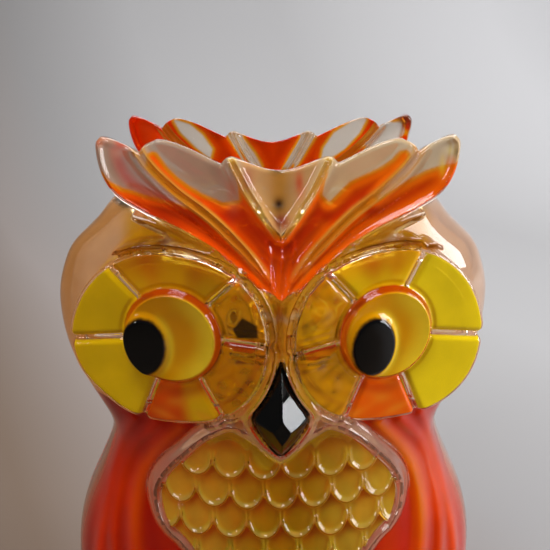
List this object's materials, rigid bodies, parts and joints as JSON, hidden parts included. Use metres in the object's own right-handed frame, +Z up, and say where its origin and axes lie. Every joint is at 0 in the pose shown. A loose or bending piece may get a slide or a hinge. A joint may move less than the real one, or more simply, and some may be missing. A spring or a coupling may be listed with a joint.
{
  "type": "owl coin bank figurine",
  "caption": "Hollow two-sided owl figurine in clear plastic with translucent orange, yellow and black colour coats, a coin slot between its crests and a base stopper.",
  "frame": {"origin": "centre of the flat base, on the resting surface", "axes": "+Z up, the front face looks towards -Y, +X to the right as seen from the front"},
  "size_m": [0.1158, 0.0784, 0.1719],
  "materials": {
    "clear_plastic": "gloss",
    "crest_orange": "gloss",
    "petal_yellow": "gloss",
    "iris_yellow": "gloss",
    "gloss_black": "gloss",
    "chest_gold": "gloss",
    "wing_red": "gloss",
    "stopper_plastic": "satin"
  },
  "bodies": {
    "owl": {"front_shell": "clear_plastic", "front_crest_coat": "crest_orange", "front_petal_coat": "petal_yellow", "front_iris_coat": "iris_yellow", "front_pupil_coat": "gloss_black", "front_beak_coat": "gloss_black", "front_chest_coat": "chest_gold", "front_wing_coat": "wing_red", "back_shell": "clear_plastic", "back_crest_coat": "crest_orange", "back_petal_coat": "petal_yellow", "back_iris_coat": "iris_yellow", "back_pupil_coat": "gloss_black", "back_beak_coat": "gloss_black", "back_chest_coat": "chest_gold", "back_wing_coat": "wing_red"},
    "stopper": {"base_stopper": "stopper_plastic"}
  },
  "joints": [
    {"name": "stopper_pull", "type": "slide", "parent": "owl", "child": "stopper", "axis": [0, 0, -1], "range_m": [0, 0.04]}
  ]
}
